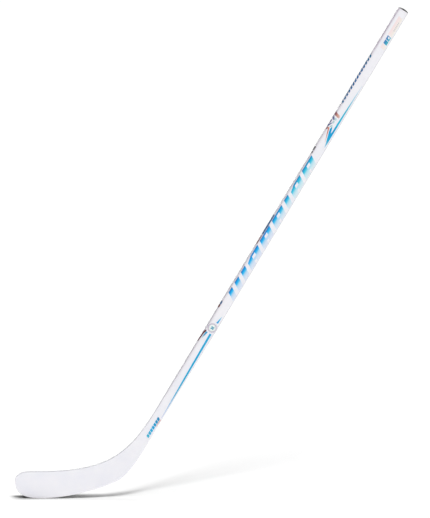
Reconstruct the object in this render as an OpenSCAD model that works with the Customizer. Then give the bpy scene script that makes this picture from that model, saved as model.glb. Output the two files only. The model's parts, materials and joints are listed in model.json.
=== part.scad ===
// Ice hockey stick: hollow laminate shaft, foam-cored blade, butt plug and
// applied graphics films. Millimetres, +Z up. The origin is the point of the
// sole that rests on the floor; the toe points to -X and the shaft leans to +X.

/* [Shaft] */
// Width of the shaft's wide face
shaft_w = 30.5; // [29:0.5:32]
// Thickness of the shaft between its wide faces
shaft_t = 20; // [18:0.5:21]
// Corner radius of the shaft section
shaft_r = 5; // [4:0.5:6]
// Wall thickness of the laminate tube
wall = 2; // [1.5:0.1:2.5]
// Lean of the shaft's centre line from the floor, in degrees
lean = 58.45; // [56:0.05:61]
// Distance along the centre line from the floor to the tube's butt end
butt_s = 1594; // [1300:1:1700]

/* [Hosel] */
// Distance along the centre line at which the blade meets the shaft
joint_s = 330; // [320:1:350]
// Distance along the centre line at which the shaft's taper ends
taper_s = 540; // [500:5:560]
// Thickness of the hosel at the blade joint
hosel_t = 14; // [12:0.5:15]
// Width that the shaft loses on its heel side over the taper
hosel_cut = 1.1; // [0.5:0.1:2]
// Length of the blade's tenon inside the shaft
tenon_len = 70; // [50:1:90]

/* [Blade] */
// Distance from the sole's contact point to the toe
toe_reach = 71; // [60:1:80]
// Height of the blade at the toe end of its top edge
blade_h = 76; // [72:1:78]
// Thickness of the blade near the toe
blade_t = 5.6; // [5:0.1:7]
// Sideways set of the toe from the shaft's mid-plane
curve_depth = 40; // [0:1:50]
// Thickness of each face skin
skin_t = 1; // [0.8:0.1:1.2]
// Width of the solid laminate round the blade's edge
rail_w = 7; // [5:0.5:9]
// Clear gap left for adhesive between bonded pieces
bond = 0.1; // [0.05:0.01:0.15]

/* [Butt plug] */
// Height of the black cap at its rim
cap_rim = 1; // [1:0.5:5]
// Extra height of the cap at its centre
cap_dome = 3.5; // [1:0.5:4]
// Length of the tongue that plugs the tube
tongue_len = 60; // [40:1:75]

/* [Graphics] */
// Thickness of the applied films
film = 0.15; // [0.1:0.05:0.25]
// Start of the row of slanted bars, at their upper edge
bars_s = 664.5; // [640:1:680]
// Gap between neighbouring bars
bar_gap = 12.25; // [10:0.25:16]
// Distance along the shaft from a bar's lower end to its upper end
bar_lean = 15; // [5:1:25]
// Centre of the roundel
roundel_s = 557; // [556:0.5:570]
// Number of dashes in the edge hatching
hatch_count = 14; // [6:1:20]

/* [Hidden] */
$fn = 48;

// Where the centre line would meet the floor, and the shaft's directions
foot = [189.5 - 2.2 * cos(lean) / sin(lean), 0];
along = [cos(lean), sin(lean)];
across = [sin(lean), -cos(lean)];
half_w = shaft_w / 2;
half_t = shaft_t / 2;

// Bezier curve, and a point at distance s along and w across the shaft
function bez(p, t) = p[0] * pow(1 - t, 3) + 3 * p[1] * t * pow(1 - t, 2)
                   + 3 * p[2] * t * t * (1 - t) + p[3] * pow(t, 3);
function at(s, w) = foot + along * s + across * w;
function mix(a, b, t) = a + (b - a) * t;
function clamp(x) = max(0, min(1, x));

// Heel-side edge of the shaft and its half thickness along the taper
function taper(s) = clamp((taper_s - s) / (taper_s - joint_s));
function heel_w(s) = half_w - hosel_cut * (1 - pow(1 - taper(s), 2));
function shaft_h(s) = mix(half_t, hosel_t / 2, taper(s));

// Edge curves of the blade: toe corners, sole, heel, and the crown that
// sweeps up into the shaft
crown_s = 292;
heel_s = 262;
flat_drop = 0.3;
toe_z = 48;
toe_low = [[-toe_reach, toe_z], [-toe_reach, 5], [-38, -flat_drop], [0, -flat_drop]];
toe_top = [[-toe_reach, toe_z], [-toe_reach, 68], [-52, blade_h], [-24, blade_h]];
sole = [[0, -flat_drop], [58, -flat_drop], [146, 19], [209, 46.5]];
heel_end = at(heel_s, heel_w(heel_s));
heel = [[209, 46.5], [250, 64], heel_end - 95 * along, heel_end];
crown_end = at(crown_s, -half_w);
crown = [[-24, blade_h], [184, blade_h], crown_end - 166 * along, crown_end];

// Edges as functions of a station t: 0 toe, 1 sole contact, 2 heel,
// 3 top of the throat, 4 joint with the shaft
function low_edge(t) = t < 1 ? bez(toe_low, t) : t < 2 ? bez(sole, t - 1)
    : t < 3 ? bez(heel, t - 2) : let (s = mix(heel_s, joint_s, t - 3)) at(s, heel_w(s));
function top_edge(t) = t < 1 ? bez(toe_top, t) : t < 3 ? bez(crown, (t - 1) / 2)
    : at(mix(crown_s, joint_s, t - 3), -half_w);
function unit(v) = v / norm(v);
function left_of(v) = [-v[1], v[0]];
step_t = 0.01;
function slope(f, t) = let (a = max(0, t - step_t), b = min(4, t + step_t))
    f == 0 ? unit(low_edge(b) - low_edge(a)) : unit(top_edge(b) - top_edge(a));
function low_in(t, d) = low_edge(t) + d * (t == 0 ? [1, 0] : left_of(slope(0, t)));
function top_in(t, d) = top_edge(t) - d * (t == 0 ? [1, 0] : left_of(slope(1, t)));

// Half thickness of the blade at a station, and its sideways curve, which
// passes through the origin's plane at the sole contact point
function blade_half(t) = t < 2 ? mix(blade_t / 2, 3.6, clamp(t / 2))
    : mix(3.6, hosel_t / 2, pow(clamp((t - 2) / 2), 1.2));
curve_start = 225;
function bend(x) = curve_depth * pow(clamp((curve_start - x) / (curve_start + toe_reach)), 2);
contact_set = bend(0);
function mid_y(x) = bend(x) - contact_set;
shaft_y = -contact_set;

// Stations along the blade, closer together at the toe and the heel
toe_start = 0.03;
toe_steps = 8;
blade_steps = 9;
throat_steps = 9;
joint_steps = 2;
ALL_STATIONS = concat(
    [for (i = [0:toe_steps - 1]) mix(toe_start, 1, pow(i / toe_steps, 1.4))],
    [for (i = [0:blade_steps - 1]) 1 + i / blade_steps],
    [for (i = [0:throat_steps - 1]) 2 + i / throat_steps],
    [for (i = [0:joint_steps]) 3 + i / joint_steps]);
function stations(from, to) = [for (t = ALL_STATIONS) if (t >= from && t <= to) t];
// Radius of the blade's rounded edge at a station
function nose_r(t) = min(4, 0.7 * blade_half(t));

// Faces of a tube of n rings with m points each, which run clockwise seen from
// its far end; the ends are closed by a ladder between a ring's two halves
function tube_faces(n, m) = concat(
    [for (i = [0:n - 2]) for (j = [0:m - 1]) let (k = (j + 1) % m) each
        [[i * m + j, i * m + k, (i + 1) * m + k], [i * m + j, (i + 1) * m + k, (i + 1) * m + j]]],
    [for (j = [0:m / 2 - 2]) each [[j + 1, j, m - 1 - j], [j + 1, m - 1 - j, m - 2 - j]]],
    [for (j = [0:m / 2 - 2]) let (e = (n - 1) * m) each
        [[e + j, e + j + 1, e + m - 2 - j], [e + j, e + m - 2 - j, e + m - 1 - j]]]);
module tube_of(rings) {
    polyhedron(points = [for (r = rings) each r], convexity = 8,
               faces = tube_faces(len(rings), len(rings[0])));
}

// A slab of the blade between two stations. The outline is inset by inset[0]
// nose radii plus inset[1], shares gives the part of the height it fills, and
// under and over are [side, offset]: side half thicknesses plus an offset
module blade_slab(from, to, inset, shares, under, over, rows) {
    function face_point(t, share, skin) =
        let (d = inset[0] * nose_r(t) + inset[1],
             p = mix(low_in(t, d), top_in(t, d), share))
        [p[0], mid_y(p[0]) + skin[0] * blade_half(t) + skin[1], p[1]];
    function share(j) = mix(shares[0], shares[1], j / rows);
    tube_of([for (t = stations(from, to)) concat(
        [for (j = [0:rows]) face_point(t, share(j), under)],
        [for (j = [rows:-1:0]) face_point(t, share(j), over)])]);
}

// Solid laminate round the blade: a band that follows the outline, with a
// rounded nose and a rebate on each side where the skins seat
shoulder = 0.2;
module edge_band() {
    function ring(p, n, t) =
        let (h = blade_half(t), r = nose_r(t), seat = h - skin_t - bond, q = 0.3 * r)
        [for (v = [[0, r - h], [q, q - h], [r, -h], [r + shoulder, -seat], [rail_w, -seat],
                   [rail_w, seat], [r + shoulder, seat], [r, h], [q, h - q], [0, h - r]])
            let (f = p + n * v[0]) [f[0], mid_y(f[0]) + v[1], f[1]]];
    ts = ALL_STATIONS;
    last = len(ts) - 1;
    tube_of(concat(
        [for (i = [last:-1:0]) ring(low_edge(ts[i]), left_of(slope(0, ts[i])), ts[i])],
        [ring(low_edge(0), [1, 0], 0)],
        [for (t = ts) ring(top_edge(t), -left_of(slope(1, t)), t)]));
}

// Frame of the shaft: X across towards the heel side, Z along to the butt
module on_shaft() {
    translate([foot[0], shaft_y, foot[1]]) rotate([0, 90 - lean, 0]) children();
}

// Rounded rectangle centred on the shaft's line
module section(w, t, r) {
    square([w - 2 * r, t], center = true);
    square([w, t - 2 * r], center = true);
    for (x = [-1, 1], y = [-1, 1]) translate([x * (w / 2 - r), y * (t / 2 - r)]) circle(r);
}
module rod(w, t, r, from, to) {
    translate([0, 0, from]) linear_extrude(to - from) section(w, t, r);
}

// Tapering part of the shaft, inset by d from its outer surface
arc_steps = 4;
taper_rings = 7;
module taper_solid(d, from, to) {
    function ring(s) = let (r = mix(shaft_r, 4, taper(s)) - d, h = shaft_h(s) - d,
                            a = -half_w + d, b = heel_w(s) - d)
        [for (c = [[b, -1, 360], [a, -1, 270], [a, 1, 180], [b, 1, 90]])
            for (k = [0:arc_steps])
                let (x = c[0] + (c[0] > 0 ? -r : r), y = c[1] * (h - r), g = c[2] - 90 * k / arc_steps)
                [x + r * cos(g), y + r * sin(g), s]];
    tube_of([for (i = [0:taper_rings]) ring(mix(from, to, i / taper_rings))]);
}

module shaft_tube() {
    color([0.95, 0.95, 0.98]) on_shaft() difference() {
        rod(shaft_w, shaft_t, shaft_r, taper_s, butt_s);
        rod(shaft_w - 2 * wall, shaft_t - 2 * wall, shaft_r - wall, taper_s - 1, butt_s + 1);
    }
}
module shaft_taper() {
    color([0.95, 0.95, 0.98]) on_shaft() difference() {
        taper_solid(0, joint_s, taper_s);
        taper_solid(wall, joint_s - 0.01, taper_s + 0.01);
    }
}

// Tenon: a slim root between the blade's rails and a head inside the shaft,
// with a foam block above it that closes the hollow
root_s = 296;
root_t = 7.6;
foam_len = 45;
head_w = shaft_w - 2 * (wall + hosel_cut) - 0.6;
head_t = hosel_t - 2 * wall - 0.4;
module hosel_tenon() {
    color([0.22, 0.22, 0.24]) on_shaft() {
        rod(2 * (half_w - rail_w - hosel_cut) - 1, root_t, 2, root_s, joint_s + 1);
        rod(head_w, head_t, 2, joint_s, joint_s + tenon_len);
    }
}
module hosel_foam() {
    foam_s = joint_s + tenon_len + 1;
    color([0.93, 0.88, 0.72]) on_shaft() rod(head_w, head_t, 2, foam_s, foam_s + foam_len);
}

full = [0, 1];
skin_inset = [1, shoulder + bond];
module blade_skin_backhand() {
    color([0.95, 0.95, 0.98]) blade_slab(0, 4, skin_inset, full, [-1, 0], [-1, skin_t], 4);
}
module blade_skin_forehand() {
    color([0.95, 0.95, 0.98]) blade_slab(0, 4, skin_inset, full, [1, -skin_t], [1, 0], 4);
}
module blade_edge_rail() {
    color([0.92, 0.92, 0.95]) difference() {
        edge_band();
        translate([-100, -50, -10]) cube([200, 100, 10]);
    }
}

// Foam cores below and above the bridge rib
rib_lo = 0.5;
rib_hi = 0.545;
rib_gap = 0.003;
core_inset = [0, rail_w + bond];
core_under = [-1, skin_t + bond];
core_over = [1, -skin_t - bond];
module core(a, b, rows) {
    blade_slab(0, 3, core_inset, [a, b], core_under, core_over, rows);
}
module blade_core_lower() { color([0.90, 0.84, 0.66]) core(0, rib_lo - rib_gap, 2); }
module blade_core_upper() { color([0.86, 0.80, 0.62]) core(rib_hi + rib_gap, 1, 2); }
module blade_bridge_rib() { color([0.15, 0.15, 0.17]) core(rib_lo, rib_hi, 1); }

// Cap: a flush rim with a rounded top edge and a low dome
module butt_cap() {
    dome_r = (pow(half_w - 0.5, 2) + pow(cap_dome, 2)) / (2 * cap_dome);
    color([0.08, 0.08, 0.09]) on_shaft() {
        rod(shaft_w, shaft_t, shaft_r, butt_s, butt_s + cap_rim);
        intersection() {
            translate([0, 0, butt_s + cap_rim + cap_dome - dome_r]) sphere(dome_r, $fn = 96);
            rod(shaft_w, shaft_t, shaft_r, butt_s + cap_rim, butt_s + 20);
        }
    }
}

// Tongue: a core that fills the tube with shallow crush ribs along it
module butt_tongue() {
    fit_w = shaft_w - 2 * wall - 1;
    fit_t = shaft_t - 2 * wall - 1;
    color([0.16, 0.16, 0.17]) on_shaft() difference() {
        rod(fit_w, fit_t, 2.5, butt_s - tongue_len, butt_s);
        translate([0, 0, butt_s - tongue_len - 1])
            linear_extrude(tongue_len - 4) square([fit_w - 5, fit_t - 5], center = true);
        for (k = [1:4], y = [-1, 1])
            translate([0, y * fit_t / 2, butt_s - k * 11]) cube([fit_w + 2, 0.8, 4], center = true);
    }
}

// A film on the shaft: the thin shell round the section between two stations,
// cut to the outline given as children in the plane of across and along
module shaft_film(from, to) {
    intersection() {
        difference() {
            rod(shaft_w + 2 * film, shaft_t + 2 * film, shaft_r + film, from, to);
            rod(shaft_w, shaft_t, shaft_r, from - 1, to + 1);
        }
        rotate([90, 0, 0]) children();
    }
}
// Depth of the cutters that keep a film on the near face and its corners
near = half_t + 1;
module near_cut() { translate([0, 0, 0.4 * near]) linear_extrude(near) children(); }
module far_cut() { translate([0, 0, -1.4 * near]) linear_extrude(near) children(); }
module side_cut(depth) {
    translate([0, 0, -depth]) linear_extrude(2 * depth) children();
}
// Bar across the shaft from w0 to w1, leaning towards the butt at its top
module slanted(s, len_s, w0, w1, slant) {
    polygon([[w0, s], [w0, s + len_s], [w1, s + len_s - slant], [w1, s - slant]]);
}
// Bar between two points of the face, with a width at each end
module stroke(a, b, wa, wb) {
    n = left_of(unit(b - a));
    polygon([a + n * wa / 2, a - n * wa / 2, b - n * wb / 2, b + n * wb / 2]);
}

bar_widths = [19, 20, 24, 57, 53, 54, 20, 52, 52];
function sum_to(v, k) = k == 0 ? 0 : v[k - 1] + sum_to(v, k - 1);
function bar_start(k) = bars_s + sum_to(bar_widths, k) + k * bar_gap;
bar_top = -14.5;
bar_low = 12.5;
slit = 3;
module bar_shapes() {
    for (k = [0:len(bar_widths) - 1]) {
        w = bar_widths[k];
        if (w < 40) slanted(bar_start(k), w, bar_top, bar_low, bar_lean);
        else difference() {
            slanted(bar_start(k), w, bar_top, bar_low, bar_lean);
            translate([0, bar_start(k) + 0.45 * w])
                slanted(0, slit, bar_top + 9, bar_low - 7, 0.5 * bar_lean);
        }
    }
}
bars_end = bar_start(len(bar_widths));
module graphic_bars() {
    color([0.15, 0.55, 0.90]) on_shaft() shaft_film(bars_s - 40, bars_end) near_cut() bar_shapes();
}
module far_bars() {
    color([0.15, 0.55, 0.90]) on_shaft() shaft_film(bars_s - 40, bars_end) far_cut() bar_shapes();
}

// Thin sheets just outside the near face of the hosel and of the taper, for
// the films that cross them
low_lift = 0.1;
module low_sheet() {
    blade_slab(2.2, 4, skin_inset, full, [-1, -film - low_lift], [-1, -low_lift], 4);
    on_shaft() tube_of([for (s = [joint_s - 1, taper_s]) let (h = shaft_h(s) + low_lift)
        [[-10, -h, s], [10, -h, s], [10, -h - film, s], [-10, -h - film, s]]]);
}
module low_film() {
    intersection() {
        low_sheet();
        on_shaft() rotate([90, 0, 0]) linear_extrude(20) children();
    }
}
module heel_stripe() {
    color([0.06, 0.65, 0.85]) low_film() {
        stroke([7.5, 267.5], [5.2, 402.5], 0.8, 2.2);
        stroke([5.2, 402.5], [3, 538.5], 2.2, 4.4);
    }
}
block_count = 7;
block_pitch = 9.2;
module heel_blocks() {
    color([0.10, 0.50, 0.85]) low_film()
        for (k = [0:block_count - 1]) slanted(204.5 + k * block_pitch, 6.2, -3.6, 5.4, 3);
}
module heel_accent() {
    color([0.85, 0.55, 0.60]) low_film() stroke([6.8, 238.5], [9, 261.5], 1.2, 2);
}

module ring_shape(r_out, r_in) { difference() { circle(r_out); circle(r_in); } }
scallops = 16;
module roundel_ring() {
    color([0.80, 0.76, 0.82]) on_shaft() shaft_film(roundel_s - 20, roundel_s + 20)
        near_cut() translate([0, roundel_s]) difference() {
            union() {
                circle(13.4);
                for (k = [0:scallops - 1]) rotate(k * 360 / scallops) translate([13, 0]) circle(1.5);
            }
            circle(9.4);
        }
}
module flat_film() {
    translate([0, -half_t, 0]) rotate([90, 0, 0]) linear_extrude(film) children();
}
module roundel_disc() {
    color([0.97, 0.97, 0.98]) on_shaft() flat_film() translate([0, roundel_s]) ring_shape(9.2, 5);
}
module roundel_mark() {
    color([0.20, 0.60, 0.68]) on_shaft() flat_film() translate([0, roundel_s])
        for (a = [45:90:315]) rotate(a) translate([1, -1.2]) square([3, 2.4]);
}

// A film on the upper narrow side, drawn in the plane of Y and along
module side_film() {
    translate([-half_w, 0, 0]) rotate([90, 0, -90]) linear_extrude(film) children();
}

// Short darts that cross the corner beside the roundel
module dart_red() {
    color([0.43, 0.10, 0.10]) on_shaft() {
        side_film() stroke([-4.5, 510], [4.5, 539], 1, 6);
        side_film() translate([-5, 617]) square([10, 7.5]);
        shaft_film(542, 552) near_cut() stroke([-16, 540], [-12.6, 546], 5, 4);
    }
}
module dart_blue() {
    color([0.10, 0.40, 0.75]) {
        low_film() stroke([-9.6, 531], [-8, 539.5], 1.5, 4);
        on_shaft() flat_film()
            polygon([[0.6, 575], [6.1, 575], [6.4, 599.5], [5.6, 597]]);
    }
}

// Chevron: two arms that meet in a point on the heel side
module chevron_band() {
    color([0.06, 0.42, 0.80]) on_shaft() flat_film() {
        stroke([7.5, 1154.5], [-6.9, 1208.5], 3, 5);
        stroke([7.5, 1152.5], [6.3, 1227.5], 3.4, 5);
        stroke([6.3, 1227.5], [9.2, 1354.5], 5, 0.8);
    }
}
module chevron_pinstripe() {
    color([0.84, 0.47, 0.31]) on_shaft() shaft_film(1150, 1220) near_cut()
        stroke([0, 1164.5], [-12.4, 1207.5], 0.8, 3);
}

// Burst: strokes that fan out from the chevron's open end
module burst_blue() {
    color([0.08, 0.35, 0.70]) on_shaft() shaft_film(1180, 1270) near_cut()
        for (k = [0:2]) slanted(1219 + 14 * k, 6, -14 + 2 * k, -4 + k, 9);
}
module burst_red() {
    color([0.50, 0.16, 0.16]) on_shaft() shaft_film(1180, 1270) near_cut()
        for (k = [0:1]) slanted(1227 + 14 * k, 4, -14 + 2 * k, -6 + k, 9);
}

// Marks on the upper narrow side: hatching, a two-part line and small dashes
hatch_s = 1286.5;
hatch_pitch = 11.25;
module edge_hatch() {
    color([0.12, 0.24, 0.50]) on_shaft() shaft_film(hatch_s - 8, hatch_s + 170)
        side_cut(half_t - 2) for (k = [0:hatch_count - 1])
            slanted(hatch_s + k * hatch_pitch, 5.5, -20, -13.6, 4);
}
module edge_line(from, to, breadth) {
    side_film() translate([-breadth / 2, from]) square([breadth, to - from]);
}
module edge_marks() {
    color([0.13, 0.25, 0.52]) on_shaft() {
        edge_line(856.5, 918.5, 8);
        edge_line(626.5, 634.5, 10);
    }
}
module edge_print() {
    color([0.25, 0.24, 0.27]) on_shaft() {
        edge_line(824.5, 852.5, 3);
        for (k = [0:4]) edge_line(1121.5 + 4 * k, 1124 + 4 * k, 10);
    }
}

// Label near the butt end, with a pair of blocks beside a plain field
module butt_label() {
    color([0.93, 0.80, 0.80]) on_shaft() flat_film() difference() {
        slanted(1476.5, 98, -4.4, 9.1, 4);
        slanted(1486.5, 30, -4.4, 9.1, 4);
    }
}
module butt_blocks() {
    color([0.35, 0.55, 0.80]) on_shaft() flat_film() {
        slanted(1489.5, 9, -3.9, 8.1, 4);
        slanted(1501.5, 12, -3.9, 8.1, 4);
    }
}

shaft_tube();
shaft_taper();
hosel_tenon();
hosel_foam();
blade_skin_backhand();
blade_skin_forehand();
blade_edge_rail();
blade_core_lower();
blade_core_upper();
blade_bridge_rib();
butt_cap();
butt_tongue();
graphic_bars();
heel_stripe();
heel_blocks();
heel_accent();
roundel_ring();
roundel_disc();
roundel_mark();
dart_red();
dart_blue();
chevron_band();
chevron_pinstripe();
burst_blue();
burst_red();
edge_hatch();
edge_marks();
edge_print();
butt_label();
butt_blocks();
far_bars();
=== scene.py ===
"""The looks of an ice hockey stick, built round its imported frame.

Shapes are worked out in millimetres, in the frame's own axes, and become metres
when a mesh is made. A place on the shaft is (s, w): s runs along the shaft from
the floor to the butt, w across it from the top side (-) to the heel side (+).
"""

import json
import math

import bmesh
import bpy
from mathutils import Matrix, Vector
from mathutils.bvhtree import BVHTree


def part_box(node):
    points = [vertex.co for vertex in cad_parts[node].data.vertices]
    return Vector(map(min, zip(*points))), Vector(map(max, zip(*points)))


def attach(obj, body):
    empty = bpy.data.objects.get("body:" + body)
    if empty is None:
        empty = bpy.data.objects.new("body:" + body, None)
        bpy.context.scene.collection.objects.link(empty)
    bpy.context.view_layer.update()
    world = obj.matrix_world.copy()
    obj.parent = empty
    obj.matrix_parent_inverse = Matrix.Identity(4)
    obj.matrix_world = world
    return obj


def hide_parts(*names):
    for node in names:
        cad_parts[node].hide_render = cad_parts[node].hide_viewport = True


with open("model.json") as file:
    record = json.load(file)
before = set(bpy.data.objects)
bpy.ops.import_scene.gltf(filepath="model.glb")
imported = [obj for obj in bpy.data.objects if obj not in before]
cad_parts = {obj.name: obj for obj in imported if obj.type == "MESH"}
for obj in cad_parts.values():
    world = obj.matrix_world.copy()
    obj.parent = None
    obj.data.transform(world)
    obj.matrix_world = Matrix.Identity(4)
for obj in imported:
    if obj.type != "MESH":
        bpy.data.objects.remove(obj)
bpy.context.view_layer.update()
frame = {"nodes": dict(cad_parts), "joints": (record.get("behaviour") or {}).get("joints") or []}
MM = 0.001

# ---------------------------------------------------------------- the frame's sizes

BUTT_S = 1594.0  # the tube's butt end
JOINT_S = 330.0  # where the blade meets the shaft
axis = frame["joints"][0]["axis"]
ALONG = Vector((axis[0], axis[2])).normalized()
ACROSS = Vector((ALONG.y, -ALONG.x))
tube_low, tube_high = (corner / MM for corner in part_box("shaft_tube"))
tube_size = tube_high - tube_low
tube_mid = (tube_high + tube_low) / 2
lean_share = ALONG.y**2 - ALONG.x**2
TUBE_LEN = (tube_size.z * ALONG.y - tube_size.x * ALONG.x) / lean_share
HALF_W = (tube_size.x * ALONG.y - tube_size.z * ALONG.x) / lean_share / 2
HALF_T = tube_size.y / 2
TAPER_S = BUTT_S - TUBE_LEN
SHAFT_Y = tube_mid.y
FOOT = Vector((tube_mid.x, tube_mid.z)) - ALONG * (BUTT_S - TUBE_LEN / 2)

CORNER_R = 5.0  # the tube's rounded edges
WALL = 2.0  # the tube's wall
HOSEL_R = 4.0  # rounded edges at the joint
HOSEL_HALF = 7.0  # half the shaft's thickness at the joint
HOSEL_CUT = 1.1  # what the heel side loses by the joint
HEEL_HALF = 3.6  # half the blade's thickness at the heel
BLADE_HALF = 2.8  # and at the toe
TOE_REACH = 71.0  # how far the toe is from the place where the sole rests
TOE_Z = 48.0  # height of the toe's tip
BLADE_TOP = 76.0  # height of the blade near the toe
FLAT_DROP = 0.3  # how far the outline dips under the floor, which cuts the sole flat
CURVE_START = 225.0  # where along the floor the blade starts to curve
CROWN_S = 292.0  # where the blade's top edge becomes the shaft's
HEEL_S = 262.0  # where its lower edge does


def mix(a, b, t):
    """The value at share t of the way from a to b."""
    return a + (b - a) * t


def clamp(x):
    return max(0.0, min(1.0, x))


def at(s, w):
    """A place on the shaft as (x, z)."""
    return FOOT + ALONG * s + ACROSS * w


def bezier(points, t):
    """A point on a cubic curve."""
    a, b, c, d = points
    return a * (1 - t) ** 3 + 3 * b * t * (1 - t) ** 2 + 3 * c * t * t * (1 - t) + d * t**3


def taper(s):
    """0 on the tube, rising to 1 at the joint with the blade."""
    return clamp((TAPER_S - s) / (TAPER_S - JOINT_S))


def heel_w(s):
    """Where the shaft's heel side is at s, as w."""
    return HALF_W - HOSEL_CUT * (1 - (1 - taper(s)) ** 2)


# ---------------------------------------------------------------- the blade's outline

def curve(*points):
    """Control points of one Bezier stretch of the outline, as (x, z)."""
    return [Vector(p) for p in points]


HEEL_PULL, CROWN_PULL = 95, 166  # length of each curve's handle along the shaft
heel_end = at(HEEL_S, heel_w(HEEL_S))
crown_end = at(CROWN_S, -HALF_W)
tip = (-TOE_REACH, TOE_Z)
rest, heel_corner, top_start = (0, -FLAT_DROP), (209, 46.5), (-24, BLADE_TOP)
TOE_LOW = curve(tip, (-TOE_REACH, 5), (-38, -FLAT_DROP), rest)
TOE_TOP = curve(tip, (-TOE_REACH, 68), (-52, BLADE_TOP), top_start)
SOLE = curve(rest, (58, -FLAT_DROP), (146, 19), heel_corner)
HEEL = curve(heel_corner, (250, 64), heel_end - HEEL_PULL * ALONG, heel_end)
CROWN = curve(top_start, (184, BLADE_TOP), crown_end - CROWN_PULL * ALONG, crown_end)
LAST_T = 4.0  # the outline's last station, at the joint


def low_edge(t):
    """Lower edge at a station t: 0 toe, 1 sole's contact, 2 heel, 3 throat, 4 joint."""
    if t < 1:
        return bezier(TOE_LOW, t)
    if t < 2:
        return bezier(SOLE, t - 1)
    if t < 3:
        return bezier(HEEL, t - 2)
    s = mix(HEEL_S, JOINT_S, t - 3)
    return at(s, heel_w(s))


def top_edge(t):
    """Top edge at the same stations, so that a section runs from one edge to the other."""
    if t < 1:
        return bezier(TOE_TOP, t)
    if t < 3:
        return bezier(CROWN, (t - 1) / 2)
    return at(mix(CROWN_S, JOINT_S, t - 3), -HALF_W)


def inward(edge, t, side):
    """Direction into the blade at an edge: side is 1 on the lower edge, -1 on the top."""
    if t <= 0:
        return Vector((1, 0))
    step = 0.01
    run = (edge(min(LAST_T, t + step)) - edge(max(0, t - step))).normalized()
    return Vector((-run.y, run.x)) * side


def blade_half(t):
    """Half the thickness at a station."""
    if t < 2:
        return mix(BLADE_HALF, HEEL_HALF, t / 2)
    return mix(HEEL_HALF, HOSEL_HALF, ((t - 2) / 2) ** 1.2)


def middle_y(x):
    """Middle of the blade's thickness, which curves towards the toe."""
    reach = CURVE_START + TOE_REACH
    depth = -SHAFT_Y / (CURVE_START / reach) ** 2
    return SHAFT_Y + depth * clamp((CURVE_START - x) / reach) ** 2


# ---------------------------------------------------------------- meshes

ARC_STEPS = 8  # faces round one edge
SIDE_STEPS = 4  # faces across a narrow side
FACE_STEPS = 12  # faces across a wide side
SUPPORT = 0.5  # distance of the loops that keep a face flat up to its rounded edge


def edge_profile(half, radius):
    """Round an edge from the near face to the far one: (depth, sideways) pairs."""
    flat = half - radius
    arc = [math.radians(90 * k / ARC_STEPS) for k in range(ARC_STEPS + 1)]
    near = [(radius * (1 - math.sin(a)), -flat - radius * math.cos(a)) for a in arc]
    side = [(0, mix(-flat, flat, k / SIDE_STEPS)) for k in range(1, SIDE_STEPS)]
    return near + side + [(d, -y) for d, y in reversed(near)]


def section(low, low_in, top, top_in, half, radius, floor=None):
    """One closed ring: near face upwards, top edge, far face downwards, lower edge.
    low and top are places on the two edges, with the directions into the section."""
    profile = edge_profile(half, radius)

    def point(p, y):
        z = p.y if floor is None else max(floor, p.y)
        return Vector((p.x, middle_y(p.x) + y, z))

    def face(y):
        a, b = low + low_in * radius, top + top_in * radius
        length = (b - a).length
        edge = 0.1 if length < 10 * SUPPORT else SUPPORT / length
        inner = [k / FACE_STEPS for k in range(1, FACE_STEPS)]
        return [point(a.lerp(b, share), y) for share in [edge, *inner, 1 - edge]]

    top_side = [point(top + top_in * d, y) for d, y in profile]
    low_side = [point(low + low_in * d, y) for d, y in reversed(profile)]
    return face(-half) + top_side + face(half)[::-1] + low_side


def shaft_section(s, inset=0.0):
    """The shaft's section at s, drawn in by inset on every side."""
    low, top = at(s, heel_w(s) - inset), at(s, -HALF_W + inset)
    half = mix(HALF_T, HOSEL_HALF, taper(s)) - inset
    radius = max(0.3, mix(CORNER_R, HOSEL_R, taper(s)) - inset)
    return section(low, -ACROSS, top, ACROSS, half, radius)


def box_section(s, half_w, half_t, radius):
    """A rounded rectangle of any size, centred on the shaft's line."""
    return section(at(s, half_w), -ACROSS, at(s, -half_w), ACROSS, half_t, radius)


def lofted(rings, closed=False, inner_from=None):
    """A solid through the rings. Faces from ring number inner_from on get material 1."""
    bm = bmesh.new()
    made = [[bm.verts.new(p * MM) for p in ring] for ring in rings]
    count = len(rings[0])
    pairs = list(zip(made, made[1:]))
    if closed:
        pairs.append((made[-1], made[0]))
    for number, (a, b) in enumerate(pairs):
        for k in range(count):
            n = (k + 1) % count
            quad = bm.faces.new((a[k], a[n], b[n], b[k]))
            if inner_from is not None and number >= inner_from:
                quad.material_index = 1
    if not closed:
        bm.faces.new(made[0][::-1])
        bm.faces.new(made[-1])
    bmesh.ops.remove_doubles(bm, verts=bm.verts, dist=1e-7)
    bmesh.ops.dissolve_degenerate(bm, edges=bm.edges, dist=1e-8)
    bmesh.ops.recalc_face_normals(bm, faces=bm.faces)
    return bm


def add_piece(name, bm, materials, body, nodes, smooth=40):
    """An object that rides on body, takes its finishes from materials and hides the nodes that it
    stands in for. Edges sharper than smooth degrees stay sharp."""
    mesh = bpy.data.meshes.new(name)
    bm.to_mesh(mesh)
    bm.free()
    mesh.shade_smooth()
    mesh.set_sharp_from_angle(angle=math.radians(smooth))
    for material in materials:
        mesh.materials.append(material)
    piece = bpy.data.objects.new(name, mesh)
    bpy.context.scene.collection.objects.link(piece)
    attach(piece, body)
    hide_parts(*nodes)


# ---------------------------------------------------------------- materials

def linear(channel):
    """A colour channel from 0 to 255 as an amount of light from 0 to 1."""
    c = channel / 255
    return c / 12.92 if c <= 0.04045 else ((c + 0.055) / 1.055) ** 2.4


WHITE_LEVEL = 243  # how bright the white paint looks, from 0 to 255
WHITE_ALBEDO = 0.80  # share of light that it sends back


def colour(r, g, b):
    """A colour as it looks beside the white paint, as a base colour."""
    gain = WHITE_ALBEDO / linear(WHITE_LEVEL)
    return (linear(r) * gain, linear(g) * gain, linear(b) * gain, 1)


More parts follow.
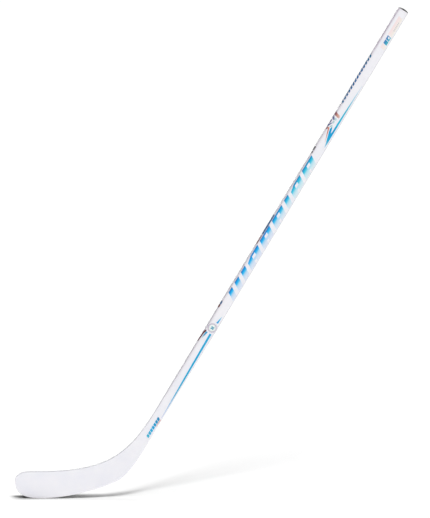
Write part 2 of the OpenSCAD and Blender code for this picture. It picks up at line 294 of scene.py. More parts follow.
class Shader:
    """Builds one node material, with short calls for the nodes used here."""

    def __init__(self, name, roughness=0.3, coat=0.0, coat_roughness=0.05, specular=0.5):
        self.material = bpy.data.materials.new(name)
        self.material.use_nodes = True
        self.nodes = self.material.node_tree.nodes
        self.links = self.material.node_tree.links
        self.surface = self.nodes["Principled BSDF"]
        self.surface.inputs["Roughness"].default_value = roughness
        self.surface.inputs["Coat Weight"].default_value = coat
        self.surface.inputs["Coat Roughness"].default_value = coat_roughness
        self.surface.inputs["Specular IOR Level"].default_value = specular
        self.place = self.nodes.new("ShaderNodeTexCoord").outputs["Object"]
        self.height = None

    def link(self, value, socket):
        """Feeds a socket from another socket, or sets it to a constant."""
        if isinstance(value, bpy.types.NodeSocket):
            self.links.new(value, socket)
        else:
            socket.default_value = value

    def math(self, operation, a, b=0.0, limit=False):
        """One sum on sockets or numbers. With limit its result stays from 0 to 1."""
        node = self.nodes.new("ShaderNodeMath")
        node.operation = operation
        node.use_clamp = limit
        self.link(a, node.inputs[0])
        self.link(b, node.inputs[1])
        return node.outputs[0]

    def along(self, direction, origin=(FOOT.x, SHAFT_Y, FOOT.y)):
        """Distance in a direction, in millimetres, from the shaft's foot or another origin."""
        node = self.nodes.new("ShaderNodeVectorMath")
        node.operation = "DOT_PRODUCT"
        self.links.new(self.place, node.inputs[0])
        node.inputs[1].default_value = Vector(direction) / MM
        return self.math("SUBTRACT", node.outputs["Value"], Vector(origin).dot(Vector(direction)))

    def s(self):
        """Place along the shaft."""
        return self.along((ALONG.x, 0, ALONG.y))

    def w(self):
        """Place across the shaft."""
        return self.along((ACROSS.x, 0, ACROSS.y))

    def share(self, value, low, high):
        """value as a share of the way from low to high, from 0 to 1."""
        node = self.nodes.new("ShaderNodeMapRange")
        self.link(value, node.inputs["Value"])
        node.inputs["From Min"].default_value = low
        node.inputs["From Max"].default_value = high
        return node.outputs["Result"]

    def ramp(self, value, stops):
        """A colour for each value from 0 to 1. stops are (value, colour)."""
        node = self.nodes.new("ShaderNodeValToRGB")
        elements = node.color_ramp.elements
        while len(elements) < len(stops):
            elements.new(0.5)
        for element, (position, rgba) in zip(elements, stops):
            element.position = position
            element.color = rgba
        self.link(value, node.inputs["Fac"])
        return node.outputs["Color"]

    def blend(self, share, a, b):
        """Colour a where share is 0, colour b where it is 1."""
        node = self.nodes.new("ShaderNodeMix")
        node.data_type = "RGBA"
        self.link(share, node.inputs["Factor"])
        self.link(a, node.inputs["A"])
        self.link(b, node.inputs["B"])
        return node.outputs["Result"]

    def stretched(self, scale_s, scale_w, scale_y):
        """Texture coordinates that follow the shaft, scaled along, across and sideways."""
        node = self.nodes.new("ShaderNodeCombineXYZ")
        self.link(self.math("MULTIPLY", self.s(), scale_s), node.inputs[0])
        self.link(self.math("MULTIPLY", self.w(), scale_w), node.inputs[1])
        self.link(self.math("MULTIPLY", self.along((0, 1, 0)), scale_y), node.inputs[2])
        return node.outputs[0]

    def noise(self, size, detail=2.0, vector=None):
        """Noise whose grains are about size millimetres across."""
        node = self.nodes.new("ShaderNodeTexNoise")
        self.link(self.place if vector is None else vector, node.inputs["Vector"])
        node.inputs["Scale"].default_value = 1 / (size * MM) if vector is None else 1 / size
        node.inputs["Detail"].default_value = detail
        return node.outputs["Fac"]

    def bump(self, height, depth, strength=0.5):
        """Adds relief: depth is its height in millimetres where the texture is 1."""
        node = self.nodes.new("ShaderNodeBump")
        node.inputs["Strength"].default_value = strength
        node.inputs["Distance"].default_value = depth * MM
        self.link(height, node.inputs["Height"])
        if self.height is not None:
            self.links.new(self.height, node.inputs["Normal"])
        self.height = node.outputs["Normal"]
        self.links.new(self.height, self.surface.inputs["Normal"])

    def roughen(self, low, high, size):
        """Roughness that wanders from low to high in grains of size millimetres."""
        grain = self.noise(size, 3)
        self.link(self.math("ADD", self.math("MULTIPLY", grain, high - low), low),
                  self.surface.inputs["Roughness"])

    def finish(self, base):
        """Sets the base colour and gives the finished material."""
        self.link(base, self.surface.inputs["Base Color"])
        return self.material


def clear_coated(name):
    """A shader with the stick's gloss: coated, with the coat's faint orange peel."""
    shader = Shader(name, coat=0.1, coat_roughness=0.08, specular=0.12)
    shader.roughen(0.26, 0.38, 6)
    shader.bump(shader.noise(1.4, 2), 0.012)
    return shader


def white_paint():
    """Cool white with painted shade: greyer along the shaft's two edges as the light leaves them,
    and greyer still on the top corner near the butt.
    """
    shader = clear_coated("white_paint")
    cool = shader.ramp(shader.noise(45, 3), [(0.3, colour(240, 240, 247)),
                                             (0.7, colour(246, 245, 249))])
    speck = shader.share(shader.noise(0.6, 1), 0.66, 0.8)
    shader.bump(shader.noise(9, 1), 0.02, 0.3)
    paint = shader.blend(shader.math("MULTIPLY", speck, 0.03), cool, colour(205, 205, 215))
    # painted shade: the top and heel edges are greyed where the light leaves them
    top_edge_share = shader.share(shader.w(), -8.5, -16)
    low_edge_share = shader.share(shader.w(), 10.5, 14.5)
    past_hosel = shader.share(shader.s(), 280, 420)
    top_shade = shader.math("MULTIPLY", shader.math("MULTIPLY", top_edge_share, past_hosel), 0.8)
    low_shade = shader.math("MULTIPLY", low_edge_share, shader.math("MULTIPLY", past_hosel, 0.5))
    # painted shade: the top corner near the butt is greyed further, as shading there is darker
    butt_corner_shade = shader.math("MULTIPLY", shader.share(shader.s(), 1440, 1465),
                          shader.share(shader.w(), -11.5, -15))
    paint = shader.blend(top_shade, paint, colour(224, 219, 227))
    paint = shader.blend(low_shade, paint, colour(208, 208, 211))
    return shader.finish(shader.blend(butt_corner_shade, paint, colour(216, 206, 219)))


def bare_carbon():
    """Unpainted laminate: straight tows along the shaft under a thin resin skin."""
    shader = Shader("bare_carbon", coat=0.2, coat_roughness=0.2)
    tows = shader.noise(1, 4, shader.stretched(0.02, 1.6, 1.6))
    cross = shader.noise(1, 2, shader.stretched(0.9, 0.25, 0.25))
    shader.roughen(0.35, 0.6, 3)
    shader.bump(tows, 0.08)
    base = shader.ramp(tows, [(0.3, (0.010, 0.010, 0.012, 1)), (0.75, (0.07, 0.07, 0.078, 1))])
    return shader.finish(shader.blend(shader.math("MULTIPLY", cross, 0.35), base,
                                      (0.022, 0.022, 0.026, 1)))


def carbon_weave():
    """Twill laminate: two sets of tows that cross at right angles."""
    shader = Shader("carbon_weave", coat=0.25, coat_roughness=0.15)
    tow = 2.4
    one = shader.math("DIVIDE", shader.math("ADD", shader.s(), shader.w()), tow)
    two = shader.math("DIVIDE", shader.math("SUBTRACT", shader.s(), shader.w()), tow)
    wave_one = shader.math("SINE", shader.math("MULTIPLY", one, math.pi))
    wave_two = shader.math("SINE", shader.math("MULTIPLY", two, math.pi))
    steps = shader.math("ADD", shader.math("FLOOR", one), shader.math("FLOOR", two))
    over = shader.math("LESS_THAN", shader.math("FLOORED_MODULO", steps, 4), 1.5)
    relief = shader.math("ADD", shader.math("MULTIPLY", shader.math("ABSOLUTE", wave_one), over),
                         shader.math("MULTIPLY", shader.math("ABSOLUTE", wave_two),
                                     shader.math("SUBTRACT", 1.0, over)))
    shader.roughen(0.3, 0.5, 2)
    shader.bump(relief, 0.1)
    return shader.finish(shader.ramp(relief, [(0, (0.008, 0.008, 0.01, 1)),
                                              (1, (0.06, 0.06, 0.066, 1))]))


def foam(name, light, dark):
    """Closed-cell foam: packed round cells with thin walls."""
    shader = Shader(name, roughness=0.85, specular=0.2)
    cells = shader.nodes.new("ShaderNodeTexVoronoi")
    cells.inputs["Scale"].default_value = 1 / (0.9 * MM)
    shader.links.new(shader.place, cells.inputs["Vector"])
    shader.bump(cells.outputs["Distance"], 0.25)
    mottle = shader.math("ADD", shader.math("MULTIPLY", cells.outputs["Distance"], 0.7),
                         shader.math("MULTIPLY", shader.noise(14, 3), 0.5), True)
    return shader.finish(shader.ramp(mottle, [(0.2, light), (0.8, dark)]))


def moulded_black(name, light, roughness):
    """Moulded plastic with the fine spark-eroded texture of its mould."""
    shader = Shader(name, specular=0.4)
    grain = shader.noise(0.35, 2)
    shader.roughen(roughness - 0.06, roughness + 0.08, 1.5)
    shader.bump(grain, 0.03)
    shader.bump(shader.noise(5, 2), 0.03, 0.3)
    dark = (light * 0.6, light * 0.6, light * 0.65, 1)
    return shader.finish(shader.ramp(shader.noise(7, 4), [(0.3, dark),
                                                          (0.7, (light, light, light * 1.08, 1))]))


def ink(name, *colours, fade=None, low=0.0, high=1.0):
    """Printed film under the clear coat. With fade, "s" or "w", its colours run
    from low to high along or across the shaft; each is (position, (r, g, b))."""
    shader = clear_coated(name)
    if fade is None:
        colours = [(0.35, colours[0]), (0.65, tuple(min(255, c + 6) for c in colours[0]))]
        share = shader.noise(7, 2)
    else:
        share = shader.share(getattr(shader, fade)(), low, high)
        ripple = shader.math("MULTIPLY", shader.math("SUBTRACT", shader.noise(4, 2), 0.5), 0.03)
        share = shader.math("ADD", share, ripple, True)
    return shader.finish(shader.ramp(share, [(p, colour(*c)) for p, c in colours]))


# ---------------------------------------------------------------- shells

def blade_rings():
    """Rings from the toe to the joint, closer together round the toe."""
    toe, body, throat, joint = 26, 34, 34, 8
    stations = [(i / toe) ** 1.5 for i in range(toe)]
    stations += [1 + i / body for i in range(body)]
    stations += [2 + i / throat for i in range(throat)]
    stations += [3 + i / joint for i in range(joint + 1)]
    rings = []
    for t in stations:
        half = blade_half(t)
        rings.append(section(low_edge(t), inward(low_edge, t, 1), top_edge(t),
                             inward(top_edge, t, -1), half, min(HOSEL_R, 0.7 * half), floor=0))
    return rings


def shaft_rings():
    """Outer rings from the joint to the butt, the tube's cut end, and its bore."""
    taper_steps, tube_steps, bore_steps = 28, 76, 50
    outer = [mix(JOINT_S, TAPER_S, i / taper_steps) for i in range(taper_steps)]
    outer += [mix(TAPER_S, BUTT_S - 0.5, i / tube_steps) for i in range(tube_steps + 1)]
    rings = [shaft_section(s) for s in outer]
    rings += [shaft_section(BUTT_S - 0.15, 0.15), shaft_section(BUTT_S, 0.5)]
    inner_from = len(rings) - 1
    rings += [shaft_section(BUTT_S, WALL - 0.3), shaft_section(BUTT_S - 0.3, WALL)]
    bore = [mix(BUTT_S - 1, JOINT_S + 1, i / bore_steps) for i in range(bore_steps + 1)]
    rings += [shaft_section(s, WALL) for s in bore]
    return rings, inner_from


def cap_rings():
    """Under side, a narrow groove at the tube, the rim, a rounded shoulder and the dome."""
    rim, crown, shoulder = BUTT_S + 1.0, BUTT_S + 4.5, 0.8
    reach = HALF_W - 0.5
    rise = crown - rim
    radius = (reach**2 + rise**2) / (2 * rise)

    def lifted(ring, inset):
        """Moves a flat ring up onto the dome, rounded over near its outside."""
        out = []
        for p in ring:
            flat = Vector((p.x, p.z)) - at(BUTT_S, 0)
            across, side = flat.dot(ACROSS), p.y - SHAFT_Y
            dome = crown - radius + math.sqrt(radius**2 - across**2 - side**2)
            gap = clamp((shoulder - inset) / shoulder)
            height = dome - shoulder * (1 - math.sqrt(1 - gap**2))
            spot = at(max(BUTT_S + 0.6, height), across)
            out.append(Vector((spot.x, p.y, spot.y)))
        return out

    rings = [shaft_section(BUTT_S + 0.05, 1.2), shaft_section(BUTT_S + 0.05, 0.35),
             shaft_section(BUTT_S + 0.3, 0.05)]
    for inset in (0.05, 0.12, 0.25, 0.45, 0.8):
        rings.append(lifted(shaft_section(BUTT_S, inset), inset))
    outline = shaft_section(BUTT_S, shoulder)
    centre = Vector((at(BUTT_S, 0).x, SHAFT_Y, at(BUTT_S, 0).y))
    for step in range(1, 10):
        share = 1 - step / 10
        rings.append(lifted([centre.lerp(p, share) for p in outline], shoulder))
    return rings


def tongue_rings():
    """The plug's tongue: grooved outside, hollow inside, closed at the cap."""
    length, play, wall, edge_r = 60, 0.5, 2.5, 2.5
    grooves, pitch, depth = 4, 11, 0.4
    start, half_w, half_t = BUTT_S - length, HALF_W - WALL - play, HALF_T - WALL - play
    steps = [(start, 1.0), (start + 1.5, 0.25), (start + 3, 0)]
    for k in range(grooves, 0, -1):
        groove = BUTT_S - pitch * k
        steps += [(groove - 2.4, 0), (groove - 2, depth), (groove + 2, depth), (groove + 2.4, 0)]
    steps.append((BUTT_S, 0))
    outer = [box_section(s, half_w - cut, half_t - cut, edge_r - cut) for s, cut in steps]
    bore = [start + 0.01, start + 20, start + 40, start + 55.5]
    inner = [box_section(s, half_w - wall, half_t - wall, 1.2) for s in bore]
    return inner[::-1] + outer


paint, carbon = white_paint(), bare_carbon()
blade_bm = lofted(blade_rings())
rings, bore_start = shaft_rings()
shaft_bm = lofted(rings, closed=True, inner_from=bore_start)


def surface_tree():
    """The painted surface of blade and shaft, for placing films on it."""
    points, faces = [], []
    for bm in (blade_bm, shaft_bm):
        bm.verts.index_update()
        first = len(points)
        points += [v.co / MM for v in bm.verts]
        faces += [[first + v.index for v in f.verts] for f in bm.faces]
    return BVHTree.FromPolygons(points, faces)


surface = surface_tree()
add_piece("blade_shell", blade_bm, [paint], "stick",
          ["blade_skin_backhand", "blade_skin_forehand", "blade_edge_rail"])
add_piece("shaft_shell", shaft_bm, [paint, carbon], "stick",
          ["shaft_tube", "shaft_taper"])
add_piece("butt_cap_moulded", lofted(cap_rings()), [moulded_black("cap_plastic", 0.014, 0.42)],
          "end_plug", ["butt_cap"], smooth=35)
add_piece("butt_tongue_moulded", lofted(tongue_rings()),
          [moulded_black("tongue_plastic", 0.045, 0.5)], "end_plug",
          ["butt_tongue"], smooth=30)

# ---------------------------------------------------------------- films

FILM_TOP = 0.09  # a film's outer face above the paint
FILM_ROOT = 0.06  # how far it is set into the paint
FLAT_W = HALF_W - CORNER_R  # half of the wide face's flat part
FLAT_T = HALF_T - CORNER_R


def girth(w):
    """Way round the section from the middle of the face to a place seen at w."""
    over = abs(w) - FLAT_W
    if over <= 0:
        return w
    return math.copysign(FLAT_W + CORNER_R * math.asin(min(1, over / CORNER_R)), w)


CORNER_END = FLAT_W + CORNER_R * math.pi / 2  # girth where the narrow side starts


def wrap(g, s, face=-1):
    """Place and outward direction on the tube, g round its section from the middle of
    a wide face: the near one, or the far one where face is 1."""
    sign, g = math.copysign(1, g), abs(g)
    if g <= FLAT_W:
        w, y, normal = g, HALF_T, (0, 1)
    elif g <= CORNER_END:
        angle = (g - FLAT_W) / CORNER_R
        normal = (math.sin(angle), math.cos(angle))
        w, y = FLAT_W + CORNER_R * normal[0], FLAT_T + CORNER_R * normal[1]
    else:
        w, y, normal = HALF_W, FLAT_T - (g - CORNER_END), (1, 0)
    place, across = at(s, sign * w), ACROSS * sign * normal[0]
    return (Vector((place.x, SHAFT_Y + face * y, place.y)),
            Vector((across.x, face * normal[1], across.y)))


def wrap_far(g, s):
    """The same on the far face."""
    return wrap(g, s, 1)


def on_face(w, s):
    """Place on the near face of the blade or shaft, straight behind (s, w)."""
    spot = at(s, w)
    hit, normal, _, _ = surface.ray_cast(Vector((spot.x, -200, spot.y)), Vector((0, 1, 0)))
    return hit, normal


def cut_flat(shapes, cuts_g=(), cuts_s=()):
    """Flat faces in the plane of (g, s), cut along lines of equal g and equal s."""
    bm = bmesh.new()
    for shape in shapes:
        bm.faces.new([bm.verts.new((g, s, 0)) for g, s in shape])
    bmesh.ops.remove_doubles(bm, verts=bm.verts, dist=1e-4)
    for number, cuts in enumerate((cuts_g, cuts_s)):
        normal = Vector((1, 0, 0)) if number == 0 else Vector((0, 1, 0))
        for cut in cuts:
            everything = bm.verts[:] + bm.edges[:] + bm.faces[:]
            bmesh.ops.bisect_plane(bm, geom=everything, plane_co=normal * cut,
                                   plane_no=normal, dist=1e-5)
    return bm


def film(name, shapes, material, nodes, place=wrap, cuts_g=None, cuts_s=()):
    """A thin solid film over the paint. shapes are outlines in the plane of (g, s), which
    place lays on the stick; they are cut at cuts_g and cuts_s, so that they can bend."""
    if cuts_g is None:
        arc = [FLAT_W + (CORNER_END - FLAT_W) * k / ARC_STEPS for k in range(ARC_STEPS + 1)]
        cuts_g = [-g for g in arc] + arc
    flat = cut_flat(shapes, cuts_g, cuts_s)
    bm = bmesh.new()
    top, root = {}, {}
    for v in flat.verts:
        spot, normal = place(v.co.x, v.co.y)
        top[v] = bm.verts.new((spot + normal * FILM_TOP) * MM)
        root[v] = bm.verts.new((spot - normal * FILM_ROOT) * MM)
    for f in flat.faces:
        bm.faces.new([top[v] for v in f.verts])
        bm.faces.new([root[v] for v in reversed(f.verts)])
    for e in flat.edges:
        if e.is_boundary:
            a, b = e.verts
            bm.faces.new((top[a], top[b], root[b], root[a]))
    bmesh.ops.recalc_face_normals(bm, faces=bm.faces)
    flat.free()
    add_piece(name, bm, [material], "stick", nodes)


def seen(shape):
    """An outline given as it is seen, in (w, s), laid out round the section."""
    return [(girth(w), s) for w, s in shape]


def seen_side(shape):
    """An outline in (w, s) where places beyond the face's edge are already girths."""
    return [(w if abs(w) > HALF_W else girth(w), s) for w, s in shape]


def slanted(s, length, w_from, w_to, slant):
    """A slanted bar: its far side lies slant lower down the shaft."""
    return [(w_from, s), (w_from, s + length), (w_to, s + length - slant), (w_to, s - slant)]


def stroke(a, b, width_a, width_b):
    """A straight stroke from a to b with a width at each end."""
    a, b = Vector(a), Vector(b)
    run = (b - a).normalized()
    side = Vector((-run.y, run.x))
    return [tuple(p) for p in (a + side * width_a / 2, a - side * width_a / 2,
                               b - side * width_b / 2, b + side * width_b / 2)]


def rectangle(g, s, width, length):
    """A rectangle centred on g that starts at s."""
    return [(g - width / 2, s), (g + width / 2, s), (g + width / 2, s + length),
            (g - width / 2, s + length)]


def annulus(middle_s, outer, inner, steps):
    """Quads between two closed curves, given as radius functions of an angle."""
    quads = []
    for k in range(steps):
        angles = [2 * math.pi * n / steps for n in (k, k + 1)]
        a, b = [[(radius(x) * math.cos(x), middle_s + radius(x) * math.sin(x)) for x in angles]
                for radius in (outer, inner)]
        quads.append([a[0], a[1], b[1], b[0]])
    return quads


def spread(low, high, count):
    """Places that divide a stretch into count equal parts."""
    return [mix(low, high, k / count) for k in range(1, count)]


# Row of slanted bars, pale on the heel side, with notches in the wide ones
BARS_S = 666.0
BAR_STARTS = (0, 32.5, 66.5, 100.5, 169, 234.5, 300.5, 333.5, 397)
BAR_WIDTHS = (19, 20.5, 22, 56, 51, 52, 20, 51, 52)
BAR_WIDE = 40  # bars wider than this have notches
BAR_LEAN = 15.0
BAR_LEAD = {3: 19, 7: 19}  # how far the top corner of two wide bars is cut back
BAR_TOP, BAR_LOW = -12.6, 12.5
BAR_COLUMNS = (BAR_TOP, -8, -0.8, 5, BAR_LOW)
NOTCHES = {1: (0.40, 0.66), 3: (0.43, 0.57)}  # in column: from and to, as shares of the width


def bar_shapes():
    """Each bar as quads in four columns; a notch is a quad left out."""
    notch_cuts = sorted({0, 1}.union(*NOTCHES.values()))
    slope = BAR_LEAN / (BAR_LOW - BAR_TOP)
    shapes = []
    for number, (place, width) in enumerate(zip(BAR_STARTS, BAR_WIDTHS)):
        start = BARS_S + place
        for k, (a, b) in enumerate(zip(BAR_COLUMNS, BAR_COLUMNS[1:])):
            spans = [(0, 1)]
            if width > BAR_WIDE:
                spans = list(zip(notch_cuts, notch_cuts[1:]))
                if k in NOTCHES:
                    spans = [cut for cut in spans if not NOTCHES[k][0] <= cut[0] < NOTCHES[k][1]]
            for lo, hi in spans:
                first, last = start + lo * width, start + hi * width
                drop_a, drop_b = slope * (a - BAR_TOP), slope * (b - BAR_TOP)
                lead = BAR_LEAD.get(number, 0) if k == 0 and lo == 0 else 0
                shapes.append(seen([(a, first - drop_a + lead), (a, last - drop_a),
                                    (b, last - drop_b), (b, first - drop_b)]))
    return shapes


def bar_ink():
    """Deep blue at the top edge through sky blue to pale lilac, and greener up the shaft."""
    shader = clear_coated("ink_bars")
    across = shader.share(shader.w(), BAR_TOP, BAR_LOW)
    low = [(0.0, (0, 100, 180)), (0.10, (0, 142, 218)), (0.25, (0, 178, 246)),
           (0.38, (96, 200, 244)), (0.48, (180, 218, 244)), (0.70, (214, 228, 246)),
           (1.0, (226, 232, 246))]
    high = [(0.0, (20, 108, 168)), (0.09, (6, 150, 206)), (0.25, (24, 192, 226)),
            (0.40, (110, 212, 234)), (0.52, (184, 228, 243)), (0.75, (212, 236, 243)),
            (1.0, (226, 236, 243))]
    ripple = shader.math("MULTIPLY", shader.math("SUBTRACT", shader.noise(6, 2), 0.5), 0.05)
    across = shader.math("ADD", across, ripple, True)
    ramps = [shader.ramp(across, [(p, colour(*c)) for p, c in stops]) for stops in (low, high)]
    return shader.finish(shader.blend(shader.share(shader.s(), 860, 1010), *ramps))


def add_bars():
    """The row of bars on both faces."""
    material = bar_ink()
    film("bars_near", bar_shapes(), material, ["graphic_bars"])
    film("bars_far", bar_shapes(), material, ["far_bars"], place=wrap_far)


def add_hosel_prints():
    """Slanted blocks, the long stripe that fades towards them, and a short accent."""
    block_s, pitch, count = 203, 9.2, 7
    film("hosel_blocks", [slanted(block_s + pitch * k, 7.7, -0.4, 7.9, 3) for k in range(count)],
         ink("ink_blocks", (0.0, (64, 184, 212)), (0.4, (0, 170, 224)), (1.0, (0, 136, 186)),
             fade="s", low=202, high=266),
         ["heel_blocks"], place=on_face, cuts_g=spread(-10, 10, 4))
    start, bend, end = 267.5, 402.5, 540.5
    stripe = [[(11.6, start), (8.8, start), (4.9, bend), (10.0, bend)],
              [(10.0, bend), (4.9, bend), (1.7, end), (7.9, end)]]
    film("hosel_stripe", stripe,
         ink("ink_stripe", (0.0, (226, 228, 243)), (0.12, (184, 208, 236)),
             (0.3, (98, 184, 220)), (0.5, (24, 172, 216)), (0.7, (0, 168, 216)),
             (1.0, (0, 168, 218)), fade="s", low=267, high=540),
         ["heel_stripe"], place=on_face, cuts_g=(9.2, 9.9, 10.6, 11.1),
         cuts_s=spread(start, end, 28))
    start, end = 240, 262
    film("hosel_accent", [stroke((9.6, start), (10.2, end), 3.2, 3.6)],
         ink("ink_accent", (0.0, (232, 208, 206)), (1.0, (230, 184, 180)), fade="s", low=start,
             high=end),
         ["heel_accent"], place=on_face, cuts_g=spread(8, 13, 5),
         cuts_s=spread(start, end, 4))


# Roundel: a scalloped ring round a pale disc with a small four-part mark
ROUNDEL_S = 557.5
RING_R = 12.6
SCALLOPS = 8
RING_HOLE_R = 9.4
DISC_R = 9.2
DISC_MIDDLE_R = 5.0


def scalloped(angle):
    """Outer radius of the ring."""
    return RING_R + 2.2 * abs(math.cos(SCALLOPS * angle)) ** 3


def ring_ink():
    """Silver with a faint play of lilac, pink and mint."""
    shader = clear_coated("ink_ring")
    mottle = shader.noise(3.2, 2)
    return shader.finish(shader.ramp(mottle, [
        (0.3, colour(190, 184, 208)), (0.5, colour(206, 204, 216)), (0.62, colour(216, 192, 202)),
        (0.7, colour(192, 216, 222))]))


def add_roundel():
    """Ring, disc and the mark on the disc."""
    ring = annulus(ROUNDEL_S, scalloped, lambda angle: RING_HOLE_R, 128)
    film("roundel_ring_print", [seen(quad) for quad in ring], ring_ink(),
         ["roundel_ring"])
    film("roundel_disc_print",
         annulus(ROUNDEL_S, lambda angle: DISC_R, lambda angle: DISC_MIDDLE_R, 64),
         ink("ink_disc", (236, 246, 242)), ["roundel_disc"])
    arm = ((0.8, -2), (5.8, -1.4), (5.8, 1.4), (0.8, 2))
    offset = 0.6
    mark = []
    for quarter in range(4):
        turn = Matrix.Rotation(math.radians(45 + 90 * quarter), 2)
        corners = [turn @ Vector(p) for p in arm]
        mark.append([(p.x + offset, ROUNDEL_S + p.y) for p in corners])
    film("roundel_mark_print", mark, ink("ink_mark", (58, 168, 194)),
         ["roundel_mark"])


def add_darts():
    """Darts beside the roundel, which come round from the top side."""
    elbow = (-16.6, 532)
    film("dart_red_print",
         [stroke((-20.5, 506), elbow, 9, 7), stroke(elbow, (-11.6, 544), 7, 3.8),
          rectangle(-20.5, 616.5, 13.5, 8.8)],
         ink("ink_maroon", (0.0, (118, 34, 50)), (0.15, (108, 10, 20)), (0.32, (92, 0, 4)),
             (0.9, (118, 52, 46)), fade="s", low=504, high=625),
         ["dart_red"], cuts_s=spread(505, 544, 8))
    film("dart_blue_print",
         [stroke((-11.2, 519), (-7.4, 541), 1.8, 5.8),
          [(1.9, 575.5), (7.8, 575.5), (8.2, 599.5), (7.0, 597)]],
         ink("ink_dart", (0.0, (170, 214, 234)), (0.10, (44, 156, 204)), (0.5, (28, 164, 212)),
             (0.72, (0, 164, 228)), (0.85, (50, 184, 230)), (1.0, (190, 222, 236)),
             fade="s", low=521, high=600),
         ["dart_blue"])


def add_chevron():
    """A filled V with one long thin arm, and the pinstripe beside its short arm."""
    root, fork, arm_end = (9.4, 1165), (3.0, 1194), (9.4, 1228)
    chevron = [[(9.2, 1152), (7.8, 1152), (4.6, 1165), root],
               [(4.6, 1165), (-6.8, 1204.5), (-4.4, 1211), (-2.2, 1211), fork, root],
               [root, fork, (4.0, 1203), (4.0, 1228), arm_end],
               stroke((6.7, 1228), (9.2, 1354.5), 5.4, 1.4)]
    film("chevron_print", chevron,
         ink("ink_chevron", (0.0, (206, 226, 242)), (0.05, (130, 200, 226)),
             (0.1, (0, 172, 212)), (0.18, (0, 166, 222)), (0.26, (0, 156, 210)),
             (0.38, (0, 184, 220)), (0.6, (70, 186, 214)), (0.8, (168, 216, 232)),
             (1.0, (226, 232, 242)), fade="s", low=1150, high=1356),
         ["chevron_band"])
    film("pinstripe_print", [seen(stroke((1.6, 1164.5), (-11.2, 1207), 1.0, 3.4))],
         ink("ink_orange", (0.0, (238, 218, 216)), (0.45, (196, 128, 116)),
             (0.7, (198, 112, 88)), (1.0, (214, 104, 50)), fade="s", low=1162, high=1206),
         ["chevron_pinstripe"])


def add_burst():
    """Broken strokes that come over the top corner above the chevron."""
    blue = [stroke((-26, 1208), (-15, 1213.5), 8, 7), stroke((-15, 1213), (-9.6, 1222), 4, 2.4),
            stroke((-24, 1224), (-14.6, 1225.5), 12, 10),
            stroke((-24, 1242), (-13, 1236), 6, 7), stroke((-13, 1236), (-9.4, 1232), 6, 3),
            stroke((-8.8, 1214), (-3.2, 1211.5), 9, 6), stroke((-9, 1236), (-3, 1235), 8, 6),
            stroke((-9.6, 1226), (-4.6, 1226), 9, 7)]
    film("burst_blue_print", [seen_side(shape) for shape in blue],
         ink("ink_burst", (0.0, (96, 104, 150)), (0.4, (104, 116, 158)), (0.55, (150, 176, 200)),
             (0.7, (186, 216, 220)), (1.0, (206, 230, 232)), fade="w", low=-17, high=-3),
         ["burst_blue"])
    red = [stroke((-24, 1196), (-14, 1205), 6, 7), stroke((-24, 1253), (-13, 1249), 10, 9),
           stroke((-13, 1249), (-6, 1247), 9, 8), stroke((-6, 1247), (0.6, 1244), 10, 5)]
    film("burst_red_print", [seen_side(shape) for shape in red],
         ink("ink_rust", (0.0, (146, 96, 110)), (0.3, (160, 100, 104)), (0.5, (204, 150, 132)),
             (0.8, (216, 172, 160)), (1.0, (228, 204, 198)), fade="w", low=-18, high=1),
         ["burst_red"])


def add_edge_prints():
    """Along the top side: hatching, a line with a short dash, and small printed dashes."""
    hatch_s, pitch, count = 1290.5, 11.4, 14
    film("hatch_print",
         [slanted(hatch_s + pitch * k, 7.4, -27.2, -12.2, 7) for k in range(count)],
         ink("ink_navy", (0.0, (0, 104, 152)), (0.5, (0, 102, 168)), (1.0, (0, 108, 148)),
             fade="s", low=1286, high=1450),
         ["edge_hatch"])
    film("edge_marks_print",
         [rectangle(-20.6, 855, 13.5, 63.5), rectangle(-20.3, 626.3, 14, 9.6)],
         ink("ink_line", (28, 92, 146)), ["edge_marks"])
    dash_s, dash_steps = 1120.5, (0, 3.4, 9, 12.2, 15.4, 18.6)
    grey, mauve = (76, 70, 76), (160, 126, 128)
    film("edge_print_marks",
         [rectangle(-20.4, 824.5, 11.5, 27)]
         + [rectangle(-20.2, dash_s + step, 14, 2.6) for step in dash_steps],
         ink("ink_grey", (0.0, mauve), (0.5, mauve), (0.7, grey), (1.0, grey), fade="s",
             low=820, high=1140),
         ["edge_print"])


def label_ink():
    """Pink fading to cream, with a row of pale grey dashes along one stretch."""
    shader = clear_coated("ink_label")
    across = shader.share(shader.w(), -5, 11)
    field = shader.ramp(across, [(0, colour(246, 228, 229)), (0.5, colour(248, 234, 231)),
                                 (1, colour(245, 242, 232))])
    stretch = shader.math("MULTIPLY", shader.share(shader.s(), 1528, 1528.4),
                          shader.share(shader.s(), 1557.6, 1557.2))
    band = shader.math("MULTIPLY", shader.share(shader.w(), 4.0, 4.4),
                       shader.share(shader.w(), 7.6, 7.2))
    pitch, dash = 5.0, 2.6
    dashes = shader.math("LESS_THAN", shader.math("FLOORED_MODULO", shader.s(), pitch), dash)
    share = shader.math("MULTIPLY", shader.math("MULTIPLY", stretch, band), dashes)
    return shader.finish(shader.blend(share, field, colour(198, 198, 204)))


def add_label():
    """Label near the butt end: a pale field on both sides of a solid and an open block."""
    film("label_print", [slanted(1473, 13, -4.2, 10.5, 3), slanted(1515, 59, -4.2, 10.5, 3)],
         label_ink(), ["butt_label"])
    top, low = -2.8, 9.2
    outer, inner = slanted(1500.3, 12.5, top, low, 3), slanted(1504.6, 5.2, 1.0, 6.0, 1.3)
    open_block = [[outer[k], outer[(k + 1) % 4], inner[(k + 1) % 4], inner[k]] for k in range(4)]
    film("label_blocks_print", [slanted(1487.3, 11.5, top, low, 3)] + open_block,
         ink("ink_block", (0.0, (92, 134, 190)), (0.35, (36, 138, 190)), (0.65, (64, 168, 196)),
             (1.0, (96, 192, 202)), fade="w", low=top, high=low),
         ["butt_blocks"])


add_bars()
add_hosel_prints()
add_roundel()
add_darts()
add_chevron()
add_burst()
add_edge_prints()
add_label()

# ---------------------------------------------------------------- inner pieces

